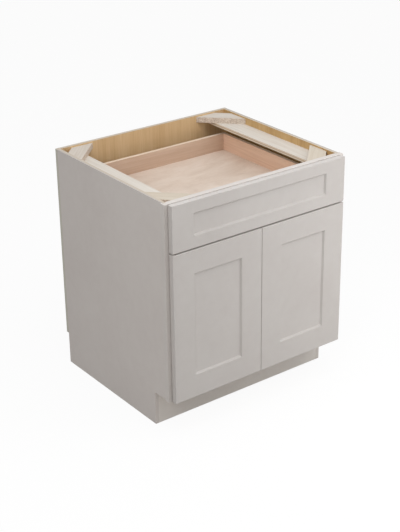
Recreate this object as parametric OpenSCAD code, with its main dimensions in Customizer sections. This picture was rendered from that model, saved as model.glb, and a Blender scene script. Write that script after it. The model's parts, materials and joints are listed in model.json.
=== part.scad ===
// Kitchen base cabinet with a face frame, one drawer over two doors, and an open top.
// Origin: centre of the footprint, on the floor. Front faces -Y, up is +Z, sizes in millimetres.

/* [Carcass] */
// Width over the face frame
frame_w = 685.8; // [560:0.1:915]
// Height from the floor to the rim
carcass_h = 762; // [720:1:900]
// Depth from the front of the face frame to the rear of the back panel
carcass_d = 597; // [590:1:650]
// Thickness of a side panel
side_t = 12; // [9:0.5:19]
// Distance from the frame's outer edge in to the outer face of a side panel
side_inset = 4.8; // [0:0.1:10]
// Thickness of the back panel, which covers the rear edges of the sides
back_t = 12; // [6:0.5:19]
// Height of the back panel's lower edge above the floor
back_low = 110; // [0:1:130]
// Thickness of the bottom panel
bottom_t = 12; // [9:0.5:19]
// Depth of the groove in a side panel that holds the bottom panel
side_groove = 5; // [2:0.5:8]
// Height of the toe space
toe_h = 114.3; // [75:0.1:130]
// Depth of the toe space behind the front of the face frame
toe_d = 80; // [50:1:110]
// Thickness of the toe kick board
toe_t = 12; // [9:0.5:19]

/* [Face frame] */
// Thickness of the face frame
frame_t = 19; // [16:0.5:25]
// Width of a frame stile
stile_w = 38.1; // [32:0.1:50]
// Width of the top rail
top_rail_w = 38.1; // [25:0.1:50]
// Width of the middle rail, between drawer and doors
mid_rail_w = 38.1; // [25:0.1:50]
// Width of the bottom rail
low_rail_w = 38.1; // [25:0.1:50]
// Height of the drawer's opening in the face frame
drawer_opening_h = 103.9; // [95:0.1:130]
// Depth of the groove in the frame's back that takes the front edges of sides and bottom
frame_groove = 6; // [3:0.5:9]
// Length of a rail's tenon
tenon_l = 14; // [6:1:25]
// Thickness of a rail's tenon
tenon_t = 6; // [4:0.5:9]
// Shoulder above and below a rail's tenon
tenon_step = 6; // [3:0.5:10]
// How far the bottom panel's top lies below the bottom rail's top edge
bottom_drop = 3; // [0:0.5:10]

/* [Top bracing] */
// How far the corner blocks lie below the rim
block_drop = 5; // [0:0.5:12]
// Thickness of a corner block
block_t = 19; // [12:0.5:25]
// Length of a corner block along each wall, measured from the corner
block_leg = 119; // [80:1:150]
// Size of the open triangle left in the corner
block_hole = 41; // [10:1:60]
// Width of a side stretcher
stretcher_w = 70; // [40:1:100]
// Thickness of a side stretcher
stretcher_t = 12; // [9:0.5:19]

/* [Shelf] */
// Thickness of the shelf
shelf_t = 16; // [12:0.5:25]
// Height of the shelf's underside above the floor
shelf_low = 356; // [260:1:420]
// Gap between the shelf and each side panel
shelf_gap = 1.5; // [0.5:0.1:4]
// Depth that the shelf stands back from the face frame
shelf_setback = 20; // [2:1:150]
// Gap between the shelf and the back panel
shelf_back_gap = 3; // [1:0.5:10]
// Diameter of a shelf support's pin
support_pin_d = 5; // [4:0.1:7]
// Depth of the holes for the supports
support_hole_depth = 8; // [5:0.5:8.5]
// Distance between neighbouring support holes
support_pitch = 32; // [20:1:40]
// Holes above and below the shelf's own hole
support_spare = 2; // [1:1:3]
// Distance of the hole rows from the shelf's front and rear edges
support_row = 50; // [30:1:120]
// Thickness of a support's seat
support_seat_t = 2; // [1.5:0.1:4]
// Length of a support's seat under the shelf
support_seat_l = 12; // [6:0.5:20]
// Width of a support's seat
support_seat_w = 10; // [8:0.5:16]
// Radial clearance of a support's pin in its hole
support_clear = 0.05; // [0.02:0.01:0.1]

/* [Fronts] */
// Thickness of doors and drawer front
front_t = 19; // [18:0.5:22]
// Gap between a closed front and the face frame
front_gap = 2.5; // [2.2:0.1:4]
// Part of each frame stile that stays visible beside a closed front
side_reveal = 11.4; // [8:0.1:14]
// Gap between the drawer front's top edge and the rim
top_reveal = 1; // [0.5:0.1:10]
// Height of the doors' lower edge above the frame's lower edge
low_reveal = 2.5; // [0:0.1:10]
// Height of the drawer front
drawer_front_h = 148; // [144:0.5:152]
// Gap between the drawer front and the doors
drawer_door_gap = 5; // [2:0.1:8]
// Gap between the two doors
door_gap = 1.6; // [1.5:0.1:6]
// Width of door stiles and rails and of drawer front stiles, on the front face
member_w = 76; // [50:0.5:90]
// Width of the drawer front's rails, on the front face
drawer_rail_w = 38; // [25:0.5:45]
// Depth from the front face to the flat panel
recess_d = 6; // [5:0.5:11]
// How far the sloped inner edge of a member runs in towards the panel
slope_w = 5; // [0.5:0.5:8]
// Thickness of the flat panel
panel_t = 6; // [4:0.5:7]
// Depth of the panel groove in stiles and rails
groove_d = 9; // [6:0.5:14]
// Gap round the edge of the floating panel
float_gap = 1; // [0.3:0.1:3]
// Diameter of the bumpers behind the fronts
bumper_d = 9; // [6:0.5:12]
// Gap between a bumper and the face frame
bumper_gap = 0.3; // [0.2:0.1:1]
// Distance of a bumper's centre from the front's upright edge
bumper_in = 14; // [8:0.5:20]
// Distance of a bumper's centre from the front's upper or lower edge
bumper_end = 14; // [8:0.5:20]

/* [Drawer] */
// Width of the space that one slide takes between the frame opening and the drawer box
slide_space = 12.7; // [12.7:0.1:14]
// Thickness of the drawer box's sides, front and back
box_t = 12; // [10:0.5:16]
// Height of the drawer box
box_h = 72; // [60:1:90]
// Gap between the drawer box and the middle rail below it
box_lift = 6; // [3:0.5:12]
// Gap between the drawer box and the back panel
box_rear_gap = 44.5; // [25:0.5:150]
// Thickness of the drawer bottom
box_bottom_t = 6; // [4:0.5:9]
// Height of the drawer bottom's underside above the lower edge of the box
box_bottom_up = 8; // [6:0.5:15]
// Depth of the groove for the drawer bottom
box_groove = 6; // [3:0.5:8]
// Number of dovetails at each box corner
tails = 3; // [2:1:5]
// Width of a dovetail's pin at its narrow end
pin_narrow = 6; // [4:0.5:8]
// How much a dovetail's pin widens on each side
pin_flare = 1.6; // [1:0.1:2.5]

/* [Slides] */
// Gap between the slide's rear end and the back panel, which the bracket bridges
slide_rear_gap = 50; // [25:1:150]
// How much shorter the middle member is than the other two
middle_short = 53; // [10:1:100]
// Height of the slide
slide_h = 45.7; // [35:0.1:50]
// Thickness of the slide's sheet steel
slide_t = 1.2; // [1:0.1:1.6]
// Running gap between neighbouring slide members
slide_gap = 0.4; // [0.3:0.05:0.8]
// Gap between the outer member's web and the middle member's web, for the screw heads
slide_web_gap = 2; // [1.8:0.1:2.5]
// Distance from the front of the face frame to the front end of the slide
slide_setback = 2; // [1:0.5:8]
// Height of the rear bracket
bracket_h = 32; // [20:1:42]
// Thickness of the rear bracket's sheet steel
bracket_t = 1.5; // [1:0.1:2.5]
// Length of the rear bracket's overlap with the outer member
bracket_lap = 30; // [20:1:50]

/* [Hinges] */
// Distance from a door's end to the centre of its nearest hinge
hinge_end = 80; // [70:1:110]
// Diameter of the hinge cup
cup_d = 35; // [33:0.1:36]
// Distance from the door's edge to the cup's centre
cup_in = 22.5; // [21:0.5:25]
// Depth of the cup below the door's back face
cup_depth = 12; // [11.5:0.1:13]
// Wall thickness of the cup
cup_wall = 1; // [0.6:0.1:1.5]
// Thickness of the cup's floor
cup_floor = 0.7; // [0.5:0.1:1.2]
// Thickness of the cup's flange on the door's back face
flange_t = 1.2; // [0.8:0.1:1.5]
// Gap between the cup and its bore in the door
cup_fit = 0.05; // [0.02:0.01:0.2]
// Distance from the door's edge to the pin that the door turns on
door_pin_in = 10; // [9.8:0.1:11]
// Depth of that pin below the door's back face
door_pin_deep = 6; // [5.5:0.1:6.5]
// Distance from the door's edge to the link's pin on the base
base_pin_in = 46; // [44:0.5:48]
// Distance of the base pin behind the front of the face frame
base_pin_back = 8; // [7:0.5:9]
// Diameter of the pin in the cup
door_pin_d = 2.5; // [2:0.1:3]
// Diameter of the pin in the base
base_pin_d = 3; // [2.5:0.1:3.5]
// Radial running clearance of the link on its pins
pin_clear = 0.05; // [0.02:0.01:0.1]
// Thickness of the curved link
link_t = 2.4; // [1.6:0.1:2.6]
// Width of the link between the two pins
link_w = 11; // [8:0.5:12]
// Angle at which the link dips into the cup
link_dip = 16; // [14:1:18]
// Straight length of the link inside the cup
link_dip_l = 8; // [7:0.5:9]
// Radius of the link's bend
link_bend_r = 8; // [7:0.5:9]
// Diameter of the eye round the cup pin
door_eye_d = 5.2; // [4.6:0.1:5.4]
// Diameter of the eye round the base pin
base_eye_d = 6; // [5:0.1:7]
// Height of a hinge base's plate
base_h = 48; // [40:1:60]
// Thickness of a hinge base's plate and ears
base_t = 2; // [1.5:0.1:2.5]
// Distance of the base's screws from the ends of its plate
base_screw_end = 8; // [6:0.5:10]
// Gap between the link and each ear of the base
ear_gap = 0.7; // [0.4:0.1:1]
// Distance from the door's edge to the cup's two screws
cup_screw_in = 27.5; // [25:0.5:30]
// Distance of the cup's screws above and below its centre
cup_screw_z = 24; // [22:0.5:26]
// Width of the cup's flange at its screws
cup_ear_d = 13; // [10:0.5:15]

/* [Screws] */
// Diameter of a screw's shank
screw_d = 3.8; // [3:0.1:5]
// Diameter of a pan head
head_d = 7; // [6:0.1:9]
// Height of a pan head
head_t = 1.6; // [1:0.1:1.6]
// Length of a screw in the wood
screw_l = 10; // [8:0.5:11]
// Radial gap of a screw in its hole
screw_clear = 0.05; // [0.02:0.01:0.2]
// Length of the screws that hold the drawer front, past the box front
front_screw_l = 12; // [8:0.5:14]
// Height of the flat head of a cup screw
cup_head_t = 0.8; // [0.5:0.1:1]
// Distance of the slide's and the bracket's screws above and below the slide's centre
screw_row = 9; // [7:0.5:11]
// Distance of the drawer's outermost slide screws from the ends of the inner member
slide_screw_end = 53; // [20:1:120]
// Distance of the drawer front's screws from the inner face of a drawer side
front_screw_in = 16; // [10:1:30]
// Distance of the drawer front's screws from the upper and lower edges of the drawer box
front_screw_edge = 18; // [18:0.5:24]

/* [Hidden] */
$fn = 48;

paint = [0.74, 0.72, 0.70];
birch = [0.75, 0.62, 0.45];
ply = [0.86, 0.82, 0.76];
box_wood = [0.77, 0.66, 0.57];
zinc = [0.62, 0.64, 0.67];
nickel = [0.78, 0.77, 0.74];
clear_pad = [0.88, 0.88, 0.86];

// Main planes. The footprint runs from the face of the fronts to the rear of the back panel
total_d = carcass_d + front_gap + front_t;
face_y = -total_d / 2;
frame_y = face_y + front_t + front_gap;
rear_y = total_d / 2;
back_y = rear_y - back_t;
inside_y = frame_y + frame_t;
half_w = frame_w / 2;
side_out = half_w - side_inset;
side_in = side_out - side_t;
open_x = half_w - stile_w;
bottom_top = toe_h + low_rail_w - bottom_drop;
bottom_low = bottom_top - bottom_t;
block_top = carcass_h - block_drop;
block_low = block_top - block_t;
mid_rail_top = carcass_h - top_rail_w - drawer_opening_h;
mid_rail_low = mid_rail_top - mid_rail_w;

// Fronts
front_x = half_w - side_reveal;
drawer_top = carcass_h - top_reveal;
drawer_low = drawer_top - drawer_front_h;
door_low = toe_h + low_reveal;
door_h = drawer_low - drawer_door_gap - door_low;
door_w = front_x - door_gap / 2;
inner_w = member_w + slope_w;
panel_edge = groove_d - float_gap;

// Drawer box and slides
box_x = open_x - slide_space;
box_in = box_x - box_t;
box_low = mid_rail_top + box_lift;
box_front_y = frame_y - front_gap;
box_rear_y = back_y - box_rear_gap;
slide_z = box_low + box_h / 2;
slide_y = frame_y + slide_setback;
slide_end_y = back_y - slide_rear_gap;
middle_end_y = slide_end_y - middle_short;
middle_h = slide_h - 2 * (slide_t + slide_gap);
inner_h = middle_h - 2 * (slide_t + slide_gap);
middle_s = slide_t + slide_web_gap;
outer_flange = slide_space - 2 * slide_gap;
middle_flange = outer_flange - slide_t;
inner_s = middle_s + slide_t + slide_gap;

// Hinges, in the plan of the left door: u from the door's edge, v from the front of the face frame
hinge_zs = [door_low + hinge_end, door_low + door_h - hinge_end];
door_pin = [door_pin_in, -front_gap - door_pin_deep];
base_pin = [base_pin_in, base_pin_back];
stile_edge = stile_w - side_reveal;
dip_end = door_pin + link_dip_l * [cos(link_dip), -sin(link_dip)];
bend_mid = dip_end + link_bend_r * [sin(link_dip), cos(link_dip)];
bend_to_pin = base_pin - bend_mid;
rise = atan2(bend_to_pin[1], bend_to_pin[0]) + asin(link_bend_r / norm(bend_to_pin));
bend_steps = 12;
pin_seat = 0.6;
hole_d = screw_d + 2 * screw_clear;

// A block between two limits along each axis
module span(x, y, z) {
    translate([x[0], y[0], z[0]]) cube([x[1] - x[0], y[1] - y[0], z[1] - z[0]]);
}

// The same shape on the right of the cabinet
module on_right() {
    mirror([1, 0, 0]) children();
}

// A flat outline in y and z, run along x from one limit to the other
module along_x(x0, x1) {
    translate([x0, 0, 0]) rotate([90, 0, 90]) linear_extrude(x1 - x0) children();
}

// A round bar along x, y or z from one limit to the other
module bar_x(x0, x1, y, z, d) {
    translate([x0, y, z]) rotate([0, 90, 0]) cylinder(h = x1 - x0, d = d);
}
module bar_y(y0, y1, x, z, d) {
    translate([x, y0, z]) rotate([-90, 0, 0]) cylinder(h = y1 - y0, d = d);
}

// Carcass
shelf_y = [inside_y + shelf_setback, back_y - shelf_back_gap];
support_ys = [shelf_y[0] + support_row, shelf_y[1] - support_row];
support_z = shelf_low - support_pin_d / 2;

module side_panel_shape() {
    difference() {
        span([-side_out, -side_in], [inside_y - frame_groove, back_y], [0, carcass_h]);
        span([-side_out - 1, -side_in + 1], [inside_y - frame_groove - 1, frame_y + toe_d], [-1, toe_h]);
        span([-side_in - side_groove, -side_in + 1], [inside_y - frame_groove - 1, back_y + 1],
             [bottom_low, bottom_top]);
        for (y = support_ys)
            for (i = [-support_spare:support_spare])
                bar_x(-side_in - support_hole_depth, -side_in + 1, y, support_z + i * support_pitch,
                      support_pin_d + 2 * support_clear);
    }
}
module left_side() {
    color(paint) side_panel_shape();
}
module right_side() {
    color(paint) on_right() side_panel_shape();
}
module back_panel() {
    color(birch) difference() {
        span([-side_out, side_out], [back_y, rear_y], [back_low, carcass_h]);
        for (s = [-1, 1])
            for (z = [-1, 1])
                bar_y(back_y - 1, back_y + screw_l, s * bracket_screw_x, slide_z + z * screw_row, hole_d);
    }
}
module bottom_panel() {
    color(birch) span([-side_in - side_groove, side_in + side_groove],
                      [inside_y - frame_groove, back_y], [bottom_low, bottom_top]);
}
module toe_kick_board() {
    color(paint) span([-side_in, side_in], [frame_y + toe_d, frame_y + toe_d + toe_t], [0, bottom_low]);
}

// Face frame
tenon_y = frame_y + (frame_t - frame_groove - tenon_t) / 2;

module tenon(x0, x1, low, high) {
    span([x0, x1], [tenon_y, tenon_y + tenon_t], [low + tenon_step, high - tenon_step]);
}
module frame_tenons(x0, x1) {
    tenon(x0, x1, carcass_h - top_rail_w, carcass_h);
    tenon(x0, x1, mid_rail_low, mid_rail_top);
    tenon(x0, x1, toe_h, toe_h + low_rail_w);
}
module frame_stile_shape() {
    difference() {
        span([-half_w, -open_x], [frame_y, inside_y], [toe_h, carcass_h]);
        span([-side_out, -side_in], [inside_y - frame_groove, inside_y + 1], [toe_h - 1, carcass_h + 1]);
        span([-side_in - side_groove, -open_x + 1], [inside_y - frame_groove, inside_y + 1],
             [bottom_low, bottom_top]);
        frame_tenons(-open_x - tenon_l, -open_x + 1);
        base_screw_holes();
        slide_front_screw_holes();
    }
}
module left_frame_stile() {
    color(paint) frame_stile_shape();
}
module right_frame_stile() {
    color(paint) on_right() frame_stile_shape();
}
module frame_rail(low, high) {
    span([-open_x, open_x], [frame_y, inside_y], [low, high]);
    tenon(-open_x - tenon_l, open_x + tenon_l, low, high);
}
module top_frame_rail() {
    color(paint) frame_rail(carcass_h - top_rail_w, carcass_h);
}
module middle_frame_rail() {
    color(paint) frame_rail(mid_rail_low, mid_rail_top);
}
module bottom_frame_rail() {
    color(paint) difference() {
        frame_rail(toe_h, toe_h + low_rail_w);
        span([-open_x - tenon_l - 1, open_x + tenon_l + 1], [inside_y - frame_groove, inside_y + 1],
             [bottom_low, bottom_top]);
    }
}

// Top bracing
module stretcher_shape() {
    span([-side_in, -side_in + stretcher_w], [inside_y, back_y], [block_low - stretcher_t, block_low]);
}
module left_stretcher() {
    color(ply) stretcher_shape();
}
module right_stretcher() {
    color(ply) on_right() stretcher_shape();
}
// A corner block, with way = 1 towards the rear from the frame and -1 towards the front from the back
module corner_block_shape(corner_y, way) {
    translate([-side_in, corner_y, block_low]) linear_extrude(block_t)
        polygon([[block_hole, 0], [block_leg, 0], [0, way * block_leg], [0, way * block_hole]]);
}
module front_left_corner_block() {
    color(ply) corner_block_shape(inside_y, 1);
}
module front_right_corner_block() {
    color(ply) on_right() corner_block_shape(inside_y, 1);
}
module rear_left_corner_block() {
    color(ply) corner_block_shape(back_y, -1);
}
module rear_right_corner_block() {
    color(ply) on_right() corner_block_shape(back_y, -1);
}

// Shelf
module shelf() {
    color(birch) span([-side_in + shelf_gap, side_in - shelf_gap], shelf_y,
                      [shelf_low, shelf_low + shelf_t]);
}
module shelf_support(y) {
    bar_x(-side_in - support_hole_depth, -side_in + support_seat_l, y, support_z, support_pin_d);
    span([-side_in, -side_in + support_seat_l], [y - support_seat_w / 2, y + support_seat_w / 2],
         [shelf_low - support_seat_t, shelf_low]);
}
module shelf_supports() {
    color(nickel) for (y = support_ys) {
        shelf_support(y);
        on_right() shelf_support(y);
    }
}

// Slides, as sections in x and z on the left of the cabinet, measured from the frame opening
bracket_screw_x = (open_x + side_in) / 2;
bracket_pin_y = slide_end_y - bracket_lap / 2;

module channel(s0, s1, web_at, height, y0, y1) {
    x = -open_x;
    span([x + web_at, x + web_at + slide_t], [y0, y1], [slide_z - height / 2, slide_z + height / 2]);
    for (side = [0, 1])
        translate([0, 0, side * (height - slide_t)])
            span([x + s0, x + s1], [y0, y1], [slide_z - height / 2, slide_z - height / 2 + slide_t]);
}
module slide_outer_shape() {
    difference() {
        channel(0, outer_flange, 0, slide_h, slide_y, slide_end_y);
        for (z = [-1, 1])
            bar_x(-open_x - 1, -open_x + slide_t + 1, slide_screw_y, slide_z + z * screw_row, hole_d);
        bar_x(-open_x - 1, -open_x + slide_t + 1, bracket_pin_y, slide_z, hole_d);
    }
}
module slide_middle_shape() {
    channel(middle_s, middle_flange, middle_s, middle_h, slide_y, middle_end_y);
}
module slide_inner_shape() {
    difference() {
        channel(inner_s, slide_space, slide_space - slide_t, inner_h, slide_y, slide_end_y);
        for (y = inner_screw_ys)
            bar_x(-open_x + slide_space - slide_t - 1, -open_x + slide_space + 1, y, slide_z, hole_d);
    }
}
module slide_bracket_shape() {
    z = [slide_z - bracket_h / 2, slide_z + bracket_h / 2];
    difference() {
        union() {
            span([-open_x - bracket_t, -open_x], [slide_end_y - bracket_lap, back_y], z);
            span([-side_in, -open_x], [back_y - bracket_t, back_y], z);
        }
        bar_x(-open_x - bracket_t - 1, -open_x + 1, bracket_pin_y, slide_z, hole_d);
        for (k = [-1, 1])
            bar_y(back_y - bracket_t - 1, back_y + 1, -bracket_screw_x, slide_z + k * screw_row, hole_d);
    }
}
module left_slide_outer() {
    color(zinc) slide_outer_shape();
}
module right_slide_outer() {
    color(zinc) on_right() slide_outer_shape();
}
module left_slide_middle() {
    color(zinc) slide_middle_shape();
}
module right_slide_middle() {
    color(zinc) on_right() slide_middle_shape();
}
module left_slide_inner() {
    color(zinc) slide_inner_shape();
}
module right_slide_inner() {
    color(zinc) on_right() slide_inner_shape();
}
module left_slide_bracket() {
    color(zinc) slide_bracket_shape();
}
module right_slide_bracket() {
    color(zinc) on_right() slide_bracket_shape();
}

// Screws. A screw along x points to +x when its length is positive
slide_screw_y = frame_y + frame_t / 2;
inner_screw_ys = [slide_y + slide_screw_end, (slide_y + slide_end_y) / 2, slide_end_y - slide_screw_end];
base_screw_z = base_h / 2 - base_screw_end;
base_screw_y = frame_y + frame_t / 2;

module screw_left(head_x, y, z) {
    bar_x(head_x - screw_l, head_x + 0.01, y, z, screw_d);
    bar_x(head_x, head_x + head_t, y, z, head_d);
}
module base_screw_holes() {
    for (z = hinge_zs)
        for (k = [-1, 1])
            bar_x(-open_x - screw_l, -open_x + 1, base_screw_y, z + k * base_screw_z, hole_d);
}
module slide_front_screw_holes() {
    for (k = [-1, 1])
        bar_x(-open_x - screw_l, -open_x + 1, slide_screw_y, slide_z + k * screw_row, hole_d);
}
module carcass_screws_one_side() {
    for (z = hinge_zs)
        for (k = [-1, 1])
            screw_left(-open_x + base_t, base_screw_y, z + k * base_screw_z);
    for (k = [-1, 1]) {
        screw_left(-open_x + slide_t, slide_screw_y, slide_z + k * screw_row);
        z = slide_z + k * screw_row;
        bar_y(back_y - bracket_t, back_y + screw_l - bracket_t, -bracket_screw_x, z, screw_d);
        bar_y(back_y - bracket_t - head_t, back_y - bracket_t, -bracket_screw_x, z, head_d);
    }
    bar_x(-open_x - bracket_t, -open_x + slide_t, bracket_pin_y, slide_z, screw_d);
    bar_x(-open_x + slide_t, -open_x + slide_t + head_t, bracket_pin_y, slide_z, head_d);
    bar_x(-open_x - bracket_t - head_t, -open_x - bracket_t, bracket_pin_y, slide_z, head_d);
}
module carcass_screws() {
    color(zinc) {
        carcass_screws_one_side();
        on_right() carcass_screws_one_side();
    }
}

// Drawer box. The pins of the box front and back fill the sockets between the sides' tails
tail_pitch = box_h / tails;
box_bottom_low = box_low + box_bottom_up;

// Sockets at one end of a side, in y and z, narrow at the end face: end is the end face, way points inward
module sockets(end, way) {
    for (i = [0:tails]) {
        z = box_low + i * tail_pitch;
        intersection() {
            polygon([
                [end, z - pin_narrow / 2], [end, z + pin_narrow / 2],
                [end + way * box_t, z + pin_narrow / 2 + pin_flare],
                [end + way * box_t, z - pin_narrow / 2 - pin_flare]
            ]);
            translate([end - box_t, box_low]) square([2 * box_t, box_h]);
        }
    }
}
module bottom_groove() {
    span([-box_in - box_groove, box_in + box_groove],
         [box_front_y + box_t - box_groove, box_rear_y - box_t + box_groove],
         [box_bottom_low, box_bottom_low + box_bottom_t]);
}
module drawer_side_shape() {
    difference() {
        span([-box_x, -box_in], [box_front_y, box_rear_y], [box_low, box_low + box_h]);
        along_x(-box_x - 1, -box_in + 1) sockets(box_front_y, 1);
        along_x(-box_x - 1, -box_in + 1) sockets(box_rear_y, -1);
        bottom_groove();
        for (y = inner_screw_ys)
            bar_x(-box_x - 1, -box_x + screw_l, y, slide_z, hole_d);
    }
}
module drawer_left_side() {
    color(box_wood) drawer_side_shape();
}
module drawer_right_side() {
    color(box_wood) on_right() drawer_side_shape();
}
module box_end(end, way) {
    y = way > 0 ? [end, end + box_t] : [end - box_t, end];
    difference() {
        union() {
            span([-box_in, box_in], y, [box_low, box_low + box_h]);
            along_x(-box_x, -box_in) sockets(end, way);
            along_x(box_in, box_x) sockets(end, way);
        }
        bottom_groove();
    }
}
module drawer_box_front() {
    color(box_wood) difference() {
        box_end(box_front_y, 1);
        drawer_front_screw_holes();
    }
}
module drawer_box_back() {
    color(box_wood) box_end(box_rear_y, -1);
}
module drawer_bottom() {
    color(ply) bottom_groove();
}

// Five-piece fronts, each in its own place: u from its left edge, depth from its front face,
// and z from its foot
function stile_outline(w) = [
    [0, 0], [w, 0], [w + slope_w, recess_d], [w + slope_w - groove_d, recess_d],
    [w + slope_w - groove_d, recess_d + panel_t], [w + slope_w, recess_d + panel_t],
    [w + slope_w, front_t], [0, front_t]
];
function swapped(points) = [for (p = points) [p[1], p[0]]];
function flipped(points, total) = [for (i = [len(points) - 1:-1:0]) [total - points[i][0], points[i][1]]];

module front_stile(w, h) {
    linear_extrude(h) polygon(stile_outline(w));
}
// Plan of the space between two stiles, with the tongues that fill their grooves
function rail_plan(front_w) = let (half = [
    [member_w, 0], [member_w + slope_w, recess_d], [inner_w - groove_d, recess_d],
    [inner_w - groove_d, recess_d + panel_t], [inner_w, recess_d + panel_t], [inner_w, front_t]
]) concat(half, flipped(half, front_w));

module front_rail(front_w, rail_w) {
    intersection() {
        along_x(0, front_w) polygon(swapped(stile_outline(rail_w)));
        translate([0, 0, -1]) linear_extrude(rail_w + slope_w + 2) polygon(rail_plan(front_w));
    }
}
module front_panel(front_w, h, rail_w) {
    span([inner_w - panel_edge, front_w - inner_w + panel_edge], [recess_d, recess_d + panel_t],
         [rail_w + slope_w - panel_edge, h - rail_w - slope_w + panel_edge]);
}
module top_of(h) {
    translate([0, 0, h]) mirror([0, 0, 1]) children();
}
module right_of(w) {
    translate([w, 0, 0]) mirror([1, 0, 0]) children();
}

// Drawer front
drawer_front_w = 2 * front_x;
front_screw_x = box_in - front_screw_in;
front_screw_zs = [box_low + front_screw_edge, box_low + box_h - front_screw_edge];
front_bumper_z = drawer_top - bumper_end;

module at_drawer_front() {
    translate([-front_x, face_y, drawer_low]) children();
}
module drawer_front_screw_holes() {
    for (s = [-1, 1])
        for (z = front_screw_zs)
            bar_y(box_front_y - front_screw_l, box_front_y + box_t + 1, s * front_screw_x, z, hole_d);
}
module drawer_front_left_stile() {
    color(paint) difference() {
        at_drawer_front() front_stile(member_w, drawer_front_h);
        drawer_front_screw_holes();
    }
}
module drawer_front_right_stile() {
    color(paint) difference() {
        at_drawer_front() right_of(drawer_front_w) front_stile(member_w, drawer_front_h);
        drawer_front_screw_holes();
    }
}
module drawer_front_bottom_rail() {
    color(paint) at_drawer_front() front_rail(drawer_front_w, drawer_rail_w);
}
module drawer_front_top_rail() {
    color(paint) at_drawer_front() top_of(drawer_front_h) front_rail(drawer_front_w, drawer_rail_w);
}
module drawer_front_panel() {
    color(paint) at_drawer_front() front_panel(drawer_front_w, drawer_front_h, drawer_rail_w);
}
module drawer_screws() {
    color(zinc) {
        for (s = [-1, 1])
            for (z = front_screw_zs) {
                bar_y(box_front_y - front_screw_l, box_front_y + box_t, s * front_screw_x, z, screw_d);
                bar_y(box_front_y + box_t, box_front_y + box_t + head_t, s * front_screw_x, z, head_d);
            }
        for (y = inner_screw_ys) {
            inner_slide_screw(y);
            on_right() inner_slide_screw(y);
        }
    }
}
module inner_slide_screw(y) {
    x = -box_x - slide_t;
    bar_x(x, x + screw_l, y, slide_z, screw_d);
    bar_x(x - head_t, x, y, slide_z, head_d);
}
module drawer_bumpers() {
    color(clear_pad) for (s = [-1, 1])
        bar_y(box_front_y, frame_y - bumper_gap, s * (front_x - bumper_in), front_bumper_z, bumper_d);
}

// Doors, drawn on the left and mirrored for the right
module at_left_door() {
    translate([-front_x, face_y, door_low]) children();
}
module cup_bores() {
    for (z = hinge_zs) {
        bar_y(face_y + front_t - cup_depth, face_y + front_t + 1, -front_x + cup_in, z,
              cup_d + 2 * cup_fit);
        for (k = [-1, 1])
            bar_y(face_y + front_t - screw_l, face_y + front_t + 1, -front_x + cup_screw_in,
                  z + k * cup_screw_z, hole_d);
    }
}
module hinge_stile_shape() {
    difference() {
        at_left_door() front_stile(member_w, door_h);
        cup_bores();
    }
}
module meeting_stile_shape() {
    at_left_door() right_of(door_w) front_stile(member_w, door_h);
}
module door_low_rail_shape() {
    at_left_door() front_rail(door_w, member_w);
}
module door_top_rail_shape() {
    at_left_door() top_of(door_h) front_rail(door_w, member_w);
}
module door_panel_shape() {
    at_left_door() front_panel(door_w, door_h, member_w);
}
module door_bumpers_shape() {
    for (z = [door_low + bumper_end, door_low + door_h - bumper_end])
        bar_y(box_front_y, frame_y - bumper_gap, -front_x + door_w - bumper_in, z, bumper_d);
}

// Hinges
module at_hinges() {
    for (z = hinge_zs)
        translate([-front_x, frame_y, z]) children();
}
module upright_pin(at, d, half) {
    translate([at[0], at[1], -half]) cylinder(h = 2 * half, d = d);
}
// Flange of the cup: a disc and a strip with round ends for the two screws
module flange_outline() {
    circle(d = cup_d + 1);
    translate([cup_screw_in - cup_in - cup_ear_d / 2, -cup_screw_z]) square([cup_ear_d, 2 * cup_screw_z]);
    for (k = [-1, 1])
        translate([cup_screw_in - cup_in, k * cup_screw_z]) circle(d = cup_ear_d);
}
module hinge_cup() {
    pin_half = sqrt(pow(cup_d / 2 - cup_wall, 2) - pow(cup_in - door_pin_in, 2)) + pin_seat;
    difference() {
        union() {
            bar_y(-front_gap - cup_depth, -front_gap, cup_in, 0, cup_d);
            translate([cup_in, -front_gap + flange_t, 0]) rotate([90, 0, 0]) linear_extrude(flange_t)
                flange_outline();
        }
        bar_y(-front_gap - cup_depth + cup_floor, -front_gap + flange_t + 1, cup_in, 0,
              cup_d - 2 * cup_wall);
        for (k = [-1, 1])
            bar_y(-front_gap - 1, -front_gap + flange_t + 1, cup_screw_in, k * cup_screw_z, hole_d);
    }
    upright_pin(door_pin, door_pin_d, pin_half);
}
module cup_screws_shape() {
    for (z = hinge_zs)
        for (k = [-1, 1]) {
            x = -front_x + cup_screw_in;
            top = frame_y - front_gap + flange_t;
            bar_y(top - screw_l, top, x, z + k * cup_screw_z, screw_d);
            bar_y(top, top + cup_head_t, x, z + k * cup_screw_z, head_d);
        }
}
// Middle line of the link as points with the direction of travel at each
link_line = concat(
    [[door_pin, -link_dip]],
    [for (i = [0:bend_steps])
        let (a = -link_dip + (rise + link_dip) * i / bend_steps)
        [bend_mid + link_bend_r * [sin(a), -cos(a)], a]],
    [[base_pin, rise]]
);
function beside(p, off) = p[0] + off * [-sin(p[1]), cos(p[1])];

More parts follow.
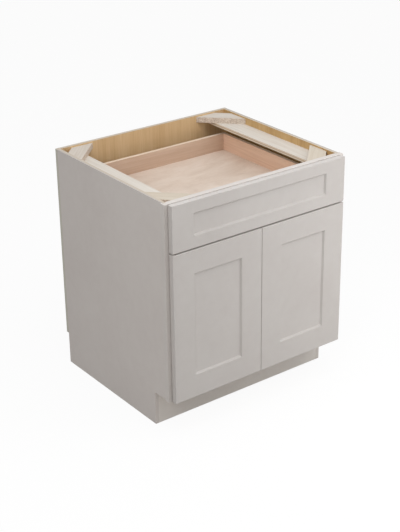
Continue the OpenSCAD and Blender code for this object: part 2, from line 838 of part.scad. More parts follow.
module hinge_link() {
    difference() {
        union() {
            translate([0, 0, -link_w / 2]) linear_extrude(link_w) polygon(concat(
                [for (p = link_line) beside(p, -link_t / 2)],
                [for (i = [len(link_line) - 1:-1:0]) beside(link_line[i], link_t / 2)]
            ));
            upright_pin(door_pin, door_eye_d, link_w / 2);
            upright_pin(base_pin, base_eye_d, link_w / 2);
        }
        upright_pin(door_pin, door_pin_d + 2 * pin_clear, link_w);
        upright_pin(base_pin, base_pin_d + 2 * pin_clear, link_w);
    }
}
module hinge_base() {
    ear_low = link_w / 2 + ear_gap;
    difference() {
        union() {
            span([stile_edge, stile_edge + base_t], [1, frame_t - 1], [-base_h / 2, base_h / 2]);
            for (k = [0, 1])
                mirror([0, 0, k]) translate([0, 0, ear_low]) linear_extrude(base_t) {
                    polygon([
                        [stile_edge + base_t / 2, 2], [base_pin[0], base_pin[1] - base_eye_d / 2],
                        [base_pin[0], base_pin[1] + base_eye_d / 2], [stile_edge + base_t / 2, frame_t - 2]
                    ]);
                    translate(base_pin) circle(d = base_eye_d);
                }
            upright_pin(base_pin, base_pin_d, ear_low + base_t);
        }
        for (k = [-1, 1])
            bar_x(stile_edge - 1, stile_edge + base_t + 1, frame_t / 2, k * base_screw_z, hole_d);
    }
}

module left_door_hinge_stile() {
    color(paint) hinge_stile_shape();
}
module right_door_hinge_stile() {
    color(paint) on_right() hinge_stile_shape();
}
module left_door_meeting_stile() {
    color(paint) meeting_stile_shape();
}
module right_door_meeting_stile() {
    color(paint) on_right() meeting_stile_shape();
}
module left_door_top_rail() {
    color(paint) door_top_rail_shape();
}
module right_door_top_rail() {
    color(paint) on_right() door_top_rail_shape();
}
module left_door_bottom_rail() {
    color(paint) door_low_rail_shape();
}
module right_door_bottom_rail() {
    color(paint) on_right() door_low_rail_shape();
}
module left_door_panel() {
    color(paint) door_panel_shape();
}
module right_door_panel() {
    color(paint) on_right() door_panel_shape();
}
module left_door_bumpers() {
    color(clear_pad) door_bumpers_shape();
}
module right_door_bumpers() {
    color(clear_pad) on_right() door_bumpers_shape();
}
module left_hinge_cups() {
    color(nickel) at_hinges() hinge_cup();
}
module right_hinge_cups() {
    color(nickel) on_right() at_hinges() hinge_cup();
}
module left_hinge_cup_screws() {
    color(zinc) cup_screws_shape();
}
module right_hinge_cup_screws() {
    color(zinc) on_right() cup_screws_shape();
}
module left_hinge_links() {
    color(nickel) at_hinges() hinge_link();
}
module right_hinge_links() {
    color(nickel) on_right() at_hinges() hinge_link();
}
module left_hinge_bases() {
    color(nickel) at_hinges() hinge_base();
}
module right_hinge_bases() {
    color(nickel) on_right() at_hinges() hinge_base();
}

left_side();
right_side();
back_panel();
bottom_panel();
toe_kick_board();
left_frame_stile();
right_frame_stile();
top_frame_rail();
middle_frame_rail();
bottom_frame_rail();
left_stretcher();
right_stretcher();
front_left_corner_block();
front_right_corner_block();
rear_left_corner_block();
rear_right_corner_block();
shelf();
shelf_supports();
carcass_screws();
left_slide_outer();
right_slide_outer();
left_slide_bracket();
right_slide_bracket();
left_slide_middle();
right_slide_middle();
left_slide_inner();
right_slide_inner();
drawer_left_side();
drawer_right_side();
drawer_box_front();
drawer_box_back();
drawer_bottom();
drawer_front_left_stile();
drawer_front_right_stile();
drawer_front_top_rail();
drawer_front_bottom_rail();
drawer_front_panel();
drawer_screws();
drawer_bumpers();
left_door_hinge_stile();
left_door_meeting_stile();
left_door_top_rail();
left_door_bottom_rail();
left_door_panel();
left_door_bumpers();
left_hinge_cups();
left_hinge_cup_screws();
left_hinge_links();
left_hinge_bases();
right_door_hinge_stile();
right_door_meeting_stile();
right_door_top_rail();
right_door_bottom_rail();
right_door_panel();
right_door_bumpers();
right_hinge_cups();
right_hinge_cup_screws();
right_hinge_links();
right_hinge_bases();
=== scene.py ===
import json
import math

import bmesh
import bpy
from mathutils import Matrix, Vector

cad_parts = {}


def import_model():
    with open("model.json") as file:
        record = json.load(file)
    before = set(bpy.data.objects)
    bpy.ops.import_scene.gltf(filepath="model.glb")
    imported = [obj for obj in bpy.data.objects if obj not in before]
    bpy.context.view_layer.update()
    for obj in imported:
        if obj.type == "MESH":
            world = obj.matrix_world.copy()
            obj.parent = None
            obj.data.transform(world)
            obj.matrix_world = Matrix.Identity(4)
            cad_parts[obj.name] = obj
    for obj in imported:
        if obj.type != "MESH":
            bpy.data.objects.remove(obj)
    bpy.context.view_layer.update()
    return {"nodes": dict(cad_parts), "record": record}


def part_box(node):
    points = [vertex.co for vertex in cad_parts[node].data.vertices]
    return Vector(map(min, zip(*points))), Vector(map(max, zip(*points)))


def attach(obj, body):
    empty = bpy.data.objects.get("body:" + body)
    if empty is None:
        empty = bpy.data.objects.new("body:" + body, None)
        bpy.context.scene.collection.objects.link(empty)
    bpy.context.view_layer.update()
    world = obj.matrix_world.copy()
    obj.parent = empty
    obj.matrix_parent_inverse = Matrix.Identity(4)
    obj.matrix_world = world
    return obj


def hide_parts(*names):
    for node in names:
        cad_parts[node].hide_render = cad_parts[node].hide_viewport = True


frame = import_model()
NODES = frame["nodes"]
BODY_OF = {node: body for body, nodes in frame["record"]["behaviour"]["bodies"].items() for node in nodes}
MM = 0.001
WHITE = (1.0, 1.0, 1.0, 1.0)


def srgb(red, green, blue):
    """A colour as the eye reads it, 0 to 255, as linear RGBA."""
    def linear(c):
        c /= 255
        return c / 12.92 if c <= 0.04045 else ((c + 0.055) / 1.055) ** 2.4
    return (linear(red), linear(green), linear(blue), 1.0)


# Sizes read from the frame
SIDE_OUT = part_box("right_side")[1].x
BLOCK_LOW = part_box("rear_right_corner_block")[0].z
SIDE_T = SIDE_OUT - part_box("rear_right_corner_block")[1].x
SIDE_IN = SIDE_OUT - SIDE_T
STRETCHER_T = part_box("right_stretcher")[1].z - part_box("right_stretcher")[0].z
SHELF_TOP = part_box("shelf")[1].z
SHELF_T = SHELF_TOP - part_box("shelf")[0].z
DECK_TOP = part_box("bottom_panel")[1].z
NOTCH_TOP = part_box("toe_kick_board")[1].z
TOE_LEVEL = NOTCH_TOP / 2
BACK_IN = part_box("back_panel")[0].y
BACK_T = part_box("back_panel")[1].y - BACK_IN
BOX_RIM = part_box("drawer_box_back")[1].z


# Grain, in cycles a metre: along it, and across it
GRAIN_BANDS = (1.3, 17.0)
GRAIN_WAVES = (2.6, 60.0)
GRAIN_FIBRES = (9.0, 900.0)
GRAIN_PORES = (45.0, 1500.0)
PAINT_GRAIN = (12.0, 700.0)
PLY_WAVER = (9.0, 160.0)
BLOCK_CUT = (170.0, 420.0)
BOX_EDGE_GRAIN = (6.0, 420.0)
ROTARY_CLOUD = (4.0, 11.0)
ROTARY_FIBRES = (14.0, 420.0)
ROTARY_FLECKS = (60.0, 300.0)
DRAWN_LINES = (25.0, 2600.0)

# Textures without a direction, in cycles a metre
PAINT_CLOUD = 5.0
PAINT_MOTTLE = 38.0
ORANGE_PEEL = 900.0
SHEEN_CLOUD = 14.0
PLY_SPECKS = 520.0
BLOCK_PITS = 260.0
PLATING_CLOUD = 60.0
PAD_HAZE = 700.0
FLOOR_CLOUD = 3.0

# How far apart the grain of two boards can start, in metres
OWN_START = 20.0
# A face looks along an axis when its normal's share of that axis is over the first limit,
# and squarely along it when the share is over the second
FACING = 0.5
FACING_FULLY = 0.93
# Plies in the cut edges of the sheets
CASE_PLIES, STRETCHER_PLIES, SHELF_PLIES = 7, 3, 9


class Look:
    """A node material, made one node at a time. Positions are in the row frame at rest, in metres."""

    def __init__(self, name):
        self.material = bpy.data.materials.new(name)
        self.material.use_nodes = True
        self.tree = self.material.node_tree
        self.shader = self.tree.nodes["Principled BSDF"]
        self.coords = self.add("ShaderNodeTexCoord")

    def add(self, kind, settings=None, **inputs):
        node = self.tree.nodes.new(kind)
        for key, value in (settings or {}).items():
            setattr(node, key, value)
        for key, value in inputs.items():
            self.feed(node.inputs[key.replace("_", " ")], value)
        return node

    def feed(self, socket, value):
        if isinstance(value, bpy.types.NodeSocket):
            self.tree.links.new(value, socket)
        else:
            socket.default_value = value

    def math(self, operation, a, b=0.0, c=0.0):
        node = self.tree.nodes.new("ShaderNodeMath")
        node.operation = operation
        for socket, value in zip(node.inputs, (a, b, c)):
            self.feed(socket, value)
        return node.outputs[0]

    def mix(self, share, a, b, blend="MIX"):
        node = self.tree.nodes.new("ShaderNodeMix")
        node.data_type = "RGBA"
        node.blend_type = blend
        self.feed(node.inputs["Factor"], share)
        self.feed(node.inputs["A"], a)
        self.feed(node.inputs["B"], b)
        return node.outputs["Result"]

    def place(self):
        return self.coords.outputs["Object"]

    def split(self, vector):
        return self.add("ShaderNodeSeparateXYZ", Vector=vector).outputs

    def stretched(self, cycles, axis, turn=0.0):
        """The place scaled for grain: the cycles a metre on the grain's axis, and on the other two.

        Each piece starts at its own point, so that no two boards are alike.
        """
        own_share = self.add("ShaderNodeObjectInfo").outputs["Random"]
        far = self.math("MULTIPLY", own_share, OWN_START)
        moved = self.add("ShaderNodeVectorMath", {"operation": "ADD"})
        self.feed(moved.inputs[0], self.place())
        self.feed(moved.inputs[1], far)
        along, across = cycles
        scale = [across] * 3
        scale["xyz".index(axis)] = along
        turned = self.add("ShaderNodeVectorRotate", {"rotation_type": "Z_AXIS"})
        self.feed(turned.inputs["Vector"], moved.outputs[0])
        turned.inputs["Angle"].default_value = turn
        sized = self.add("ShaderNodeVectorMath", {"operation": "MULTIPLY"})
        self.feed(sized.inputs[0], turned.outputs[0])
        sized.inputs[1].default_value = scale
        return sized.outputs[0]

    def noise(self, vector, scale=1.0, detail=4.0, rough=0.5, distortion=0.0):
        node = self.add("ShaderNodeTexNoise", Vector=vector, Scale=scale, Detail=detail, Roughness=rough)
        node.inputs["Distortion"].default_value = distortion
        return node.outputs["Fac"]

    def ramp(self, value, *stops):
        node = self.add("ShaderNodeValToRGB")
        elements = node.color_ramp.elements
        while len(elements) < len(stops):
            elements.new(0.5)
        for element, (position, colour) in zip(elements, stops):
            element.position = position
            element.color = colour if isinstance(colour, tuple) else (colour, colour, colour, 1)
        self.feed(node.inputs["Fac"], value)
        return node.outputs["Color"]

    def above(self, value, limit, soft=0.02):
        """0 below the limit and 1 above it, over a short soft step."""
        step = self.add("ShaderNodeMapRange", Value=value, From_Min=limit - soft, From_Max=limit + soft)
        return step.outputs["Result"]

    def bump(self, height, distance, strength=1.0, below=None):
        node = self.add("ShaderNodeBump", Height=height, Distance=distance, Strength=strength)
        if below is not None:
            self.feed(node.inputs["Normal"], below)
        return node.outputs["Normal"]

    def finish(self, colour, rough, normal=None, metallic=0.0, coat=0.0, specular=None):
        self.feed(self.shader.inputs["Base Color"], colour)
        self.feed(self.shader.inputs["Roughness"], rough)
        self.shader.inputs["Metallic"].default_value = metallic
        self.shader.inputs["Coat Weight"].default_value = coat
        if specular is not None:
            self.shader.inputs["Specular IOR Level"].default_value = specular
        if normal is not None:
            self.feed(self.shader.inputs["Normal"], normal)
        return self.material


PAINT = (srgb(210, 205, 201), srgb(205, 199, 195))
# The face frame's paint is the fronts' paint made lighter: painted light against the shade on the frame
# behind the fronts.
FRAME_PAINTED_LIGHT = (srgb(218, 212, 207), srgb(213, 206, 201))
# The sides' paint is the fronts' paint made lighter and a little pinker: painted light for the sides, which
# get less light.
SIDE_PAINTED_LIGHT = (srgb(218, 211, 206), srgb(213, 205, 200))
# The toe board's paint is the same paint made much lighter: painted light in the shaded toe space.
TOE_PAINTED_LIGHT = (srgb(234, 228, 222), srgb(229, 222, 215))
# The notch's front edges take a lighter paint too: painted light in the shaded toe space.
NOTCH_PAINTED_LIGHT = (srgb(224, 217, 211), srgb(218, 210, 204))
BACK_EDGE_PAINT = (srgb(205, 202, 190), srgb(199, 196, 183))
BIRCH = (srgb(217, 187, 145), srgb(206, 173, 129), srgb(192, 156, 112))
SIDE_BIRCH = (srgb(216, 184, 134), srgb(205, 170, 117), srgb(190, 152, 101))
BACK_INNER = (srgb(221, 192, 150), srgb(210, 178, 134), srgb(196, 161, 117))
BACK_BIRCH = (srgb(216, 196, 164), srgb(205, 182, 148), srgb(190, 165, 129))
FRONT_PLY = (srgb(216, 206, 192), srgb(208, 197, 181), srgb(196, 182, 163))
PALE_PLY = (srgb(223, 215, 206), srgb(215, 206, 195), srgb(203, 191, 177))
STRETCHER_PLY = (srgb(228, 222, 214), srgb(220, 213, 203), srgb(208, 198, 185))
BOX_BIRCH = (srgb(211, 186, 166), srgb(199, 171, 149), srgb(185, 154, 132))
# The drawer sides' birch is much lighter than the front and back boards': painted light on sides shaded by
# the stretchers and blocks.
BOX_SIDE_BIRCH_PAINTED_LIGHT = (srgb(246, 217, 193), srgb(236, 202, 177), srgb(220, 183, 157))
BOTTOM_PLY = (srgb(226, 211, 198), srgb(220, 203, 188), srgb(210, 191, 175))
EDGE_TONES = (srgb(236, 225, 209), srgb(203, 185, 160))
BOX_EDGE_TONES = (srgb(237, 221, 204), srgb(222, 200, 178))
RIM_TONES = (srgb(207, 196, 181), srgb(196, 183, 166))
RIM_OUTER = srgb(189, 182, 176)
CUT_PIT = srgb(150, 128, 112)
BLOCK_CUT_TONES = (srgb(229, 218, 204), srgb(209, 194, 179), srgb(180, 163, 148))
ZINC_TONE = srgb(186, 190, 196)
NICKEL_TONE = srgb(206, 202, 194)
PAD_TONES = (srgb(232, 233, 230), srgb(214, 216, 214))
# What the slopes round the panels are mixed with, and how much of it: a painted shade where they look up,
# and a painted light where they look down.
UP_SLOPE_SHADE, UP_SHADE_SHARE = srgb(60, 54, 50), 0.14
DOWN_SLOPE_LIGHT, DOWN_LIGHT_SHARE = srgb(255, 250, 246), 0.2


def paint_colour(look, tones=PAINT):
    """Sprayed satin paint with a faint cloudy tone."""
    cloud = look.noise(look.place(), scale=PAINT_CLOUD, detail=3.0, rough=0.55)
    mottle = look.noise(look.place(), scale=PAINT_MOTTLE, detail=3.0, rough=0.6)
    tone = look.math("MULTIPLY_ADD", mottle, 0.35, look.math("MULTIPLY", cloud, 0.65))
    return look.ramp(tone, (0.32, tones[1]), (0.62, tones[0]))


def paint_normal(look, axis):
    """Orange peel of the spray over the fine grain that telegraphs through the paint."""
    peel = look.noise(look.place(), scale=ORANGE_PEEL, detail=2.0, rough=0.5)
    grain = look.noise(look.stretched(PAINT_GRAIN, axis), detail=3.0, rough=0.6)
    return look.bump(peel, 0.03 * MM, 0.6, look.bump(grain, 0.04 * MM, 0.5))


def wood_colour(look, tones, axis, turn=0.0, figure=0.55):
    """Light wood: broad bands, wavy growth lines and fine fibres, from a light, a middle and a dark tone."""
    light, middle, dark = tones
    bands = look.noise(look.stretched(GRAIN_BANDS, axis, turn), detail=3.0, rough=0.55, distortion=0.4)
    waves = look.noise(look.stretched(GRAIN_WAVES, axis, turn), detail=5.0, rough=0.6, distortion=1.2)
    fibres = look.noise(look.stretched(GRAIN_FIBRES, axis, turn), detail=3.0, rough=0.7)
    tone = look.math("MULTIPLY_ADD", waves, figure, look.math("MULTIPLY", bands, 1 - figure))
    tone = look.math("MULTIPLY_ADD", fibres, 0.28, look.math("MULTIPLY", tone, 0.72))
    wood = look.ramp(tone, (0.36, dark), (0.5, middle), (0.64, light))
    pores = look.noise(look.stretched(GRAIN_PORES, axis, turn), detail=1.0, rough=0.5)
    pores = look.above(pores, 0.71, 0.03)
    return look.mix(look.math("MULTIPLY", pores, 0.18), wood, dark), fibres


def ply_edge(look, axis, low, thickness, plies, run, tones=EDGE_TONES, specks=0.3):
    """Cut edge of plywood: light and dark plies in turn across the sheet, running along `run`."""
    at = look.math("ABSOLUTE", look.split(look.place())["xyz".index(axis)])
    depth = look.math("MULTIPLY", look.math("SUBTRACT", at, low), plies / thickness)
    waver = look.noise(look.stretched(PLY_WAVER, run), detail=3.0, rough=0.6)
    uneven = look.math("MULTIPLY_ADD", waver, 0.24, look.math("SUBTRACT", depth, 0.62))
    layer = look.math("PINGPONG", uneven, 1.0)
    colour = look.ramp(layer, (0.3, tones[0]), (0.7, tones[1]))
    speck = look.above(look.noise(look.place(), scale=PLY_SPECKS, detail=2.0, rough=0.6), 0.63, 0.04)
    return look.mix(look.math("MULTIPLY", speck, specks), colour, CUT_PIT)


def painted(name, axis, tones=PAINT):
    """Painted wood, with a painted shade on the slopes that look up and a painted light on those that look
    down.
    """
    look = Look(name)
    up = look.split(look.coords.outputs["Normal"])[2]
    down = look.math("MULTIPLY", up, -1.0)
    colour = paint_colour(look, tones)
    # Painted shade darkens the slopes that look up, and painted light lightens those that look down.
    for facing, share, tone in ((up, UP_SHADE_SHARE, UP_SLOPE_SHADE), (down, DOWN_LIGHT_SHARE, DOWN_SLOPE_LIGHT)):
        slope = look.math("SUBTRACT", look.above(facing, FACING), look.above(facing, FACING_FULLY))
        colour = look.mix(look.math("MULTIPLY", slope, share), colour, tone)
    sheen = look.ramp(look.noise(look.place(), scale=SHEEN_CLOUD, detail=3.0), (0.3, 0.42), (0.7, 0.5))
    return look.finish(colour, sheen, paint_normal(look, axis), specular=0.25)


def side_panel():
    """Painted outside and on its front edges, clear birch inside, bare plywood on the rim."""
    look = Look("side_panel")
    x, y, z = look.split(look.place())
    nx, ny, nz = look.split(look.coords.outputs["Normal"])
    outward = look.math("MULTIPLY", nx, look.math("SIGN", x))
    birch, fibres = wood_colour(look, SIDE_BIRCH, "z")
    rim = ply_edge(look, "x", SIDE_IN, SIDE_T, CASE_PLIES, "y", RIM_TONES, 0.2)
    outer_third = look.above(look.math("ABSOLUTE", x), SIDE_OUT - SIDE_T / 3, SIDE_T / 12)
    rim = look.mix(outer_third, rim, RIM_OUTER)
    inside = look.above(look.math("MULTIPLY", outward, -1.0), FACING)
    colour = look.mix(inside, rim, birch)
    raised = look.above(z, TOE_LEVEL, TOE_LEVEL)
    under = look.math("MULTIPLY", look.above(look.math("MULTIPLY", nz, -1.0), FACING), raised)
    front = look.above(look.math("MULTIPLY", ny, -1.0), FACING)
    coated = look.math("MAXIMUM", look.math("MAXIMUM", look.above(outward, FACING), front), under)
    # The side's painted faces take its lighter paint, a painted light.
    colour = look.mix(coated, colour, paint_colour(look, SIDE_PAINTED_LIGHT))
    # Below the notch's top, the side's front edges take the lighter notch paint: painted light in the toe
    # space's shade.
    below = look.above(look.math("MULTIPLY", z, -1.0), -NOTCH_TOP, 0.5 * MM)
    notch_painted_light = look.math("MULTIPLY", front, below)
    colour = look.mix(notch_painted_light, colour, paint_colour(look, NOTCH_PAINTED_LIGHT))
    normal = look.bump(fibres, 0.04 * MM, 0.5, paint_normal(look, "z"))
    return look.finish(colour, 0.44, normal, specular=0.3)


def back_panel():
    """Clear birch towards the inside, a plainer face to the wall, plywood top edge, painted side edges."""
    look = Look("back_panel")
    nx, ny, nz = look.split(look.coords.outputs["Normal"])
    birch, fibres = wood_colour(look, BACK_INNER, "z")
    plain = wood_colour(look, BACK_BIRCH, "z", figure=0.7)[0]
    colour = look.mix(look.above(ny, FACING), birch, plain)
    top = ply_edge(look, "y", BACK_IN, BACK_T, CASE_PLIES, "x", RIM_TONES, 0.2)
    colour = look.mix(look.above(look.math("ABSOLUTE", nz), FACING), colour, top)
    sideways = look.above(look.math("ABSOLUTE", nx), FACING)
    colour = look.mix(sideways, colour, paint_colour(look, BACK_EDGE_PAINT))
    return look.finish(colour, 0.5, look.bump(fibres, 0.05 * MM, 0.6), specular=0.4)


def edged(name, tones, axis, top, thickness, edge_axis, plies, edge_tones, figure=0.55, coat=0.0, rough=0.5):
    """A plywood board: grain on its faces, and cut plies on the faces that look along the other two axes."""
    look = Look(name)
    normals = look.split(look.coords.outputs["Normal"])
    face, fibres = wood_colour(look, tones, axis, figure=figure)
    edge = ply_edge(look, edge_axis, top - thickness, thickness, plies, axis, edge_tones)
    flat = look.above(look.math("ABSOLUTE", normals["xyz".index(edge_axis)]), FACING)
    colour = look.mix(flat, edge, face)
    return look.finish(colour, rough, look.bump(fibres, 0.06 * MM, 0.6), coat=coat, specular=0.4)


def corner_block(name, turn, tones):
    """Corner block: pale face with grain across the corner, and a rough speckled cut through its plies."""
    look = Look(name)
    nz = look.split(look.coords.outputs["Normal"])[2]
    face, fibres = wood_colour(look, tones, "x", turn, figure=0.8)
    cut = look.noise(look.stretched(BLOCK_CUT, "x", turn), detail=4.0, rough=0.75)
    light, middle, dark = BLOCK_CUT_TONES
    edge = look.ramp(cut, (0.36, dark), (0.5, middle), (0.62, light))
    pits = look.above(look.noise(look.place(), scale=BLOCK_PITS, detail=3.0, rough=0.7), 0.6, 0.05)
    edge = look.mix(look.math("MULTIPLY", pits, 0.45), edge, CUT_PIT)
    colour = look.mix(look.above(look.math("ABSOLUTE", nz), FACING), edge, face)
    normal = look.bump(fibres, 0.08 * MM, 0.7, look.bump(cut, 0.12 * MM, 0.5))
    return look.finish(colour, 0.66, normal, specular=0.3)


def drawer_side(name, axis, tones):
    """Clear-coated drawer box board, with its paler top edge left as cut."""
    look = Look(name)
    z = look.split(look.place())[2]
    nz = look.split(look.coords.outputs["Normal"])[2]
    face, fibres = wood_colour(look, tones, axis)
    grain = look.noise(look.stretched(BOX_EDGE_GRAIN, axis), detail=4.0, rough=0.6)
    edge = look.ramp(grain, (0.35, BOX_EDGE_TONES[1]), (0.6, BOX_EDGE_TONES[0]))
    rim = look.math("MULTIPLY", look.above(nz, FACING), look.above(z, BOX_RIM - 1 * MM, 0.5 * MM))
    colour = look.mix(rim, face, edge)
    return look.finish(colour, 0.45, look.bump(fibres, 0.05 * MM, 0.6), coat=0.2, specular=0.4)


def drawer_bottom():
    """Thin rotary-cut plywood: a soft cloudy figure along the drawer's width, with faint fibres."""
    look = Look("drawer_bottom_plywood")
    light, middle, dark = BOTTOM_PLY
    cloud = look.noise(look.stretched(ROTARY_CLOUD, "x"), detail=4.0, rough=0.6, distortion=1.6)
    fibres = look.noise(look.stretched(ROTARY_FIBRES, "x"), detail=3.0, rough=0.65)
    flecks = look.noise(look.stretched(ROTARY_FLECKS, "x"), detail=2.0, rough=0.6)
    tone = look.math("MULTIPLY_ADD", fibres, 0.22, look.math("MULTIPLY", cloud, 0.6))
    tone = look.math("MULTIPLY_ADD", flecks, 0.18, tone)
    colour = look.ramp(tone, (0.38, dark), (0.5, middle), (0.6, light))
    return look.finish(colour, 0.5, look.bump(fibres, 0.04 * MM, 0.5), coat=0.1, specular=0.4)


def plated(name, colour, rough, axis):
    """Plated sheet steel: fine drawn lines along the part and a slightly cloudy plating."""
    look = Look(name)
    lines = look.noise(look.stretched(DRAWN_LINES, axis), detail=2.0, rough=0.6)
    cloud = look.noise(look.place(), scale=PLATING_CLOUD, detail=4.0, rough=0.6)
    tone = look.math("MULTIPLY_ADD", lines, 0.5, look.math("MULTIPLY", cloud, 0.5))
    darker = tuple(0.82 * c for c in colour[:3]) + (1.0,)
    shade = look.ramp(tone, (0.35, darker), (0.65, colour))
    gloss = look.ramp(cloud, (0.3, rough - 0.06), (0.7, rough + 0.08))
    return look.finish(shade, gloss, look.bump(lines, 0.02 * MM, 0.5), metallic=1.0)


def soft_clear(name):
    look = Look(name)
    haze = look.noise(look.place(), scale=PAD_HAZE, detail=3.0)
    colour = look.ramp(haze, (0.3, PAD_TONES[1]), (0.7, PAD_TONES[0]))
    look.shader.inputs["Transmission Weight"].default_value = 0.35
    return look.finish(colour, 0.3, look.bump(haze, 0.02 * MM, 0.4), specular=0.5)


PAINTED_UP = painted("satin_paint_upright", "z")
PAINTED_ACROSS = painted("satin_paint_across", "x")
# The face frame takes lighter copies of the paint, a painted light.
FRAME_UP_PAINTED_LIGHT = painted("satin_paint_frame_upright", "z", FRAME_PAINTED_LIGHT)
FRAME_ACROSS_PAINTED_LIGHT = painted("satin_paint_frame_across", "x", FRAME_PAINTED_LIGHT)
# The toe board takes a lighter copy of the paint: painted light in the shaded toe space.
TOE_PAINTED_LIGHT_MATERIAL = painted("satin_paint_toe", "x", TOE_PAINTED_LIGHT)
SIDE = side_panel()
BACK = back_panel()
STRETCHER = edged("stretcher_plywood", STRETCHER_PLY, "y", BLOCK_LOW, STRETCHER_T, "z", STRETCHER_PLIES,
                  EDGE_TONES, figure=0.7, rough=0.62)
SHELF = edged("shelf_plywood", BIRCH, "x", SHELF_TOP, SHELF_T, "z", SHELF_PLIES, EDGE_TONES, coat=0.15)
FLOOR_BOARD = edged("bottom_plywood", BIRCH, "x", DECK_TOP, SIDE_T, "z", CASE_PLIES, EDGE_TONES, coat=0.15)
BLOCKS = {
    "rear_right_corner_block": corner_block("rear_right_block", math.radians(45), PALE_PLY),
    "rear_left_corner_block": corner_block("rear_left_block", math.radians(-45), PALE_PLY),
    "front_left_corner_block": corner_block("front_left_block", math.radians(45), FRONT_PLY),
    "front_right_corner_block": corner_block("front_right_block", math.radians(-45), FRONT_PLY),
}
# The drawer sides take the lighter birch: painted light.
BOX_ALONG_PAINTED_LIGHT = drawer_side("drawer_birch_along", "y", BOX_SIDE_BIRCH_PAINTED_LIGHT)
BOX_ACROSS = drawer_side("drawer_birch_across", "x", BOX_BIRCH)
DRAWER_BOTTOM = drawer_bottom()
ZINC = plated("bright_zinc", ZINC_TONE, 0.3, "y")
NICKEL = plated("satin_nickel", NICKEL_TONE, 0.26, "z")
PAD = soft_clear("clear_bumper")


def material_for(node):
    if "bumper" in node:
        return PAD
    if "hinge_links" in node or "hinge_cups" in node or "hinge_bases" in node or node == "shelf_supports":
        return NICKEL
    if "slide" in node or "screws" in node:
        return ZINC
    if node in ("left_side", "right_side"):
        return SIDE
    if node == "back_panel":
        return BACK
    if "stretcher" in node:
        return STRETCHER
    if node in BLOCKS:
        return BLOCKS[node]
    if node == "shelf":
        return SHELF
    if node == "bottom_panel":
        return FLOOR_BOARD
    if node == "drawer_bottom":
        return DRAWER_BOTTOM
    if node in ("drawer_left_side", "drawer_right_side"):
        return BOX_ALONG_PAINTED_LIGHT
    if node in ("drawer_box_front", "drawer_box_back"):
        return BOX_ACROSS
    if node == "toe_kick_board":
        return TOE_PAINTED_LIGHT_MATERIAL
    if "frame" in node:
        return FRAME_ACROSS_PAINTED_LIGHT if "rail" in node else FRAME_UP_PAINTED_LIGHT
    return PAINTED_ACROSS if "rail" in node else PAINTED_UP


# Painted fronts and face frame: each piece keeps its shape, and its outer arrises are eased
DRAWER_MEMBERS = ("left_stile", "right_stile", "top_rail", "bottom_rail")
DOOR_MEMBERS = ("hinge_stile", "meeting_stile", "top_rail", "bottom_rail")
FRONTS = {
    "drawer_front": ["drawer_front_" + part for part in DRAWER_MEMBERS],
    "left_door": ["left_door_" + part for part in DOOR_MEMBERS],
    "right_door": ["right_door_" + part for part in DOOR_MEMBERS],
    "face_frame": ["left_frame_stile", "right_frame_stile", "top_frame_rail", "middle_frame_rail",
                   "bottom_frame_rail"],
}
EASED = {"face_frame": 1.0 * MM}
FRONT_EASED = 1.5 * MM
SLOPE_EASED = 0.5 * MM
TOUCH = 0.02 * MM
# Smallest area of a slope, in square metres
SLOPE_AREA = 2e-4
# Faces that meet at less are one flat face
FLAT = math.radians(0.3)
# Corners over these are eased on the own pieces, broken on the others, and kept hard in the shading
ARRIS = math.radians(30)
CORNER = math.radians(35)
SHARP = math.radians(50)
WELD = 0.005 * MM
# The share of an axis in a normal that counts as straight along it
STRAIGHT = 0.999


def union_box(nodes):
    boxes = [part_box(node) for node in nodes]
    low = Vector(min(b[0][i] for b in boxes) for i in range(3))
    high = Vector(max(b[1][i] for b in boxes) for i in range(3))
    return low, high


def clean_copy(node):
    """The node's shape as a bmesh with flat faces whole and no doubled points."""
    mesh = bmesh.new()
    mesh.from_mesh(NODES[node].data)
    bmesh.ops.remove_doubles(mesh, verts=mesh.verts, dist=WELD)
    bmesh.ops.dissolve_limit(mesh, angle_limit=FLAT, verts=mesh.verts, edges=mesh.edges)
    return mesh


def is_outer(face, low, high):
    """Whether a face lies in a side of the assembled front's box."""
    for axis in range(3):
        if abs(face.normal[axis]) > STRAIGHT:
            at = face.calc_center_median()[axis]
            return abs(at - low[axis]) < TOUCH or abs(at - high[axis]) < TOUCH
    return False


def on_front(face, low):
    return face.normal.y < -STRAIGHT and abs(face.calc_center_median().y - low.y) < TOUCH


def is_slope(face):
    """Whether a face is the sloped inner edge of a stile or rail."""
    return -0.9 < face.normal.y < -0.2 and face.calc_area() > SLOPE_AREA


def round_edges(mesh, edges, radius):
    bmesh.ops.bevel(mesh, geom=edges, offset=radius, segments=3, profile=0.5, affect="EDGES",
                    clamp_overlap=True)


def sharpen(piece):
    """Keeps flat faces flat and hard corners hard, and shades the eased edges between them smoothly."""
    split = piece.modifiers.new("sharp_edges", "EDGE_SPLIT")
    split.split_angle = SHARP
    split.use_edge_sharp = False
    even = piece.modifiers.new("even_shading", "WEIGHTED_NORMAL")
    even.weight = 100
    even.keep_sharp = True


def add_piece(node, suffix, mesh):
    """Makes an own piece from a bmesh: it stands in for its node and moves with the node's body."""
    data = bpy.data.meshes.new(node + suffix)
    mesh.to_mesh(data)
    mesh.free()
    data.shade_smooth()
    piece = bpy.data.objects.new(node + suffix, data)
    bpy.context.scene.collection.objects.link(piece)
    data.materials.append(material_for(node))
    sharpen(piece)
    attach(piece, BODY_OF[node])
    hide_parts(node)


